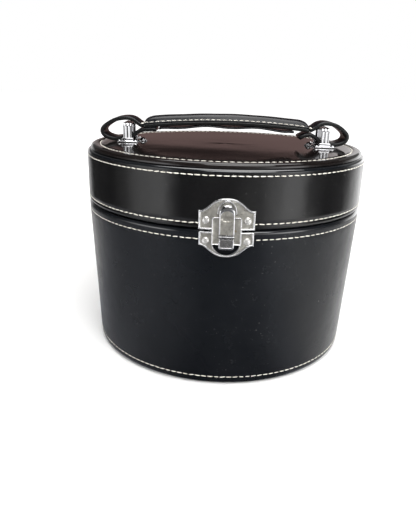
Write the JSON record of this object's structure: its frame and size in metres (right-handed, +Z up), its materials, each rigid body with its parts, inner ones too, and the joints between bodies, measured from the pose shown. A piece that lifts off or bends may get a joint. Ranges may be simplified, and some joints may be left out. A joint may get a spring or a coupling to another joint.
{
  "type": "round train case",
  "caption": "Round black leatherette case like a small hat box, with a back-hinged lid, chrome snap latch, cream stitching and a padded top handle on chrome stirrups.",
  "frame": {"origin": "centre of the underside, on the surface that the case stands on", "axes": "+Z up, -Y towards the latch, +Y towards the back hinge, X along the handle"},
  "size_m": [0.22, 0.23, 0.184],
  "materials": {
    "base_leatherette": "smooth satin black leatherette, cream stitching",
    "lid_leatherette": "smooth high-gloss black leatherette, cream stitching",
    "handle_leatherette": "glossy black leatherette, cream stitching",
    "bottom_leatherette": "matte black leatherette",
    "stitching": "cream polyester thread",
    "chrome": "bright nickel-chrome plate with satin flats",
    "fibreboard": "raw pressed board",
    "lining": "short-pile dark grey flock lining",
    "padding": "foam"
  },
  "bodies": {
    "base": {"base_board": "fibreboard", "bottom_board": "fibreboard", "base_wrap": "base_leatherette", "bottom_cover": "bottom_leatherette", "base_lining": "lining", "floor_pad": "lining", "latch_lower_plate": "chrome", "latch_lower_rivets": "chrome", "latch_hasp_pin": "chrome", "hinge_lower_leaf": "chrome", "hinge_lower_rivets": "chrome", "hinge_pin": "chrome"},
    "lid": {"lid_board": "fibreboard", "lid_top_board": "fibreboard", "lid_side_wrap": "lid_leatherette", "lid_top_panel": "lid_leatherette", "lid_lining": "lining", "lid_pad": "lining", "latch_upper_plate": "chrome", "latch_upper_rivets": "chrome", "hinge_upper_leaf": "chrome", "hinge_upper_rivets": "chrome", "stirrup_left": "chrome", "stirrup_right": "chrome", "stirrup_rivets_left": "chrome", "stirrup_rivets_right": "chrome"},
    "handle": {"strap_loop_left": "handle_leatherette", "strap_loop_right": "handle_leatherette", "grip_strap": "handle_leatherette", "grip_underlay": "handle_leatherette", "grip_core": "padding", "grip_cover": "handle_leatherette"},
    "hasp": {"latch_hasp": "chrome"}
  },
  "joints": [
    {"name": "lid_hinge", "type": "hinge", "parent": "base", "child": "lid", "pos_m": [0, 0.1126, 0.1183], "axis": [-1, 0, 0], "range_deg": [0, 95]},
    {"name": "handle_lift", "type": "slide", "parent": "lid", "child": "handle", "axis": [0, 0, 1], "range_m": [0, 0.0065]},
    {"name": "hasp_hinge", "type": "hinge", "parent": "base", "child": "hasp", "pos_m": [0, -0.11395, 0.115], "axis": [1, 0, 0], "range_deg": [0, 150]}
  ]
}
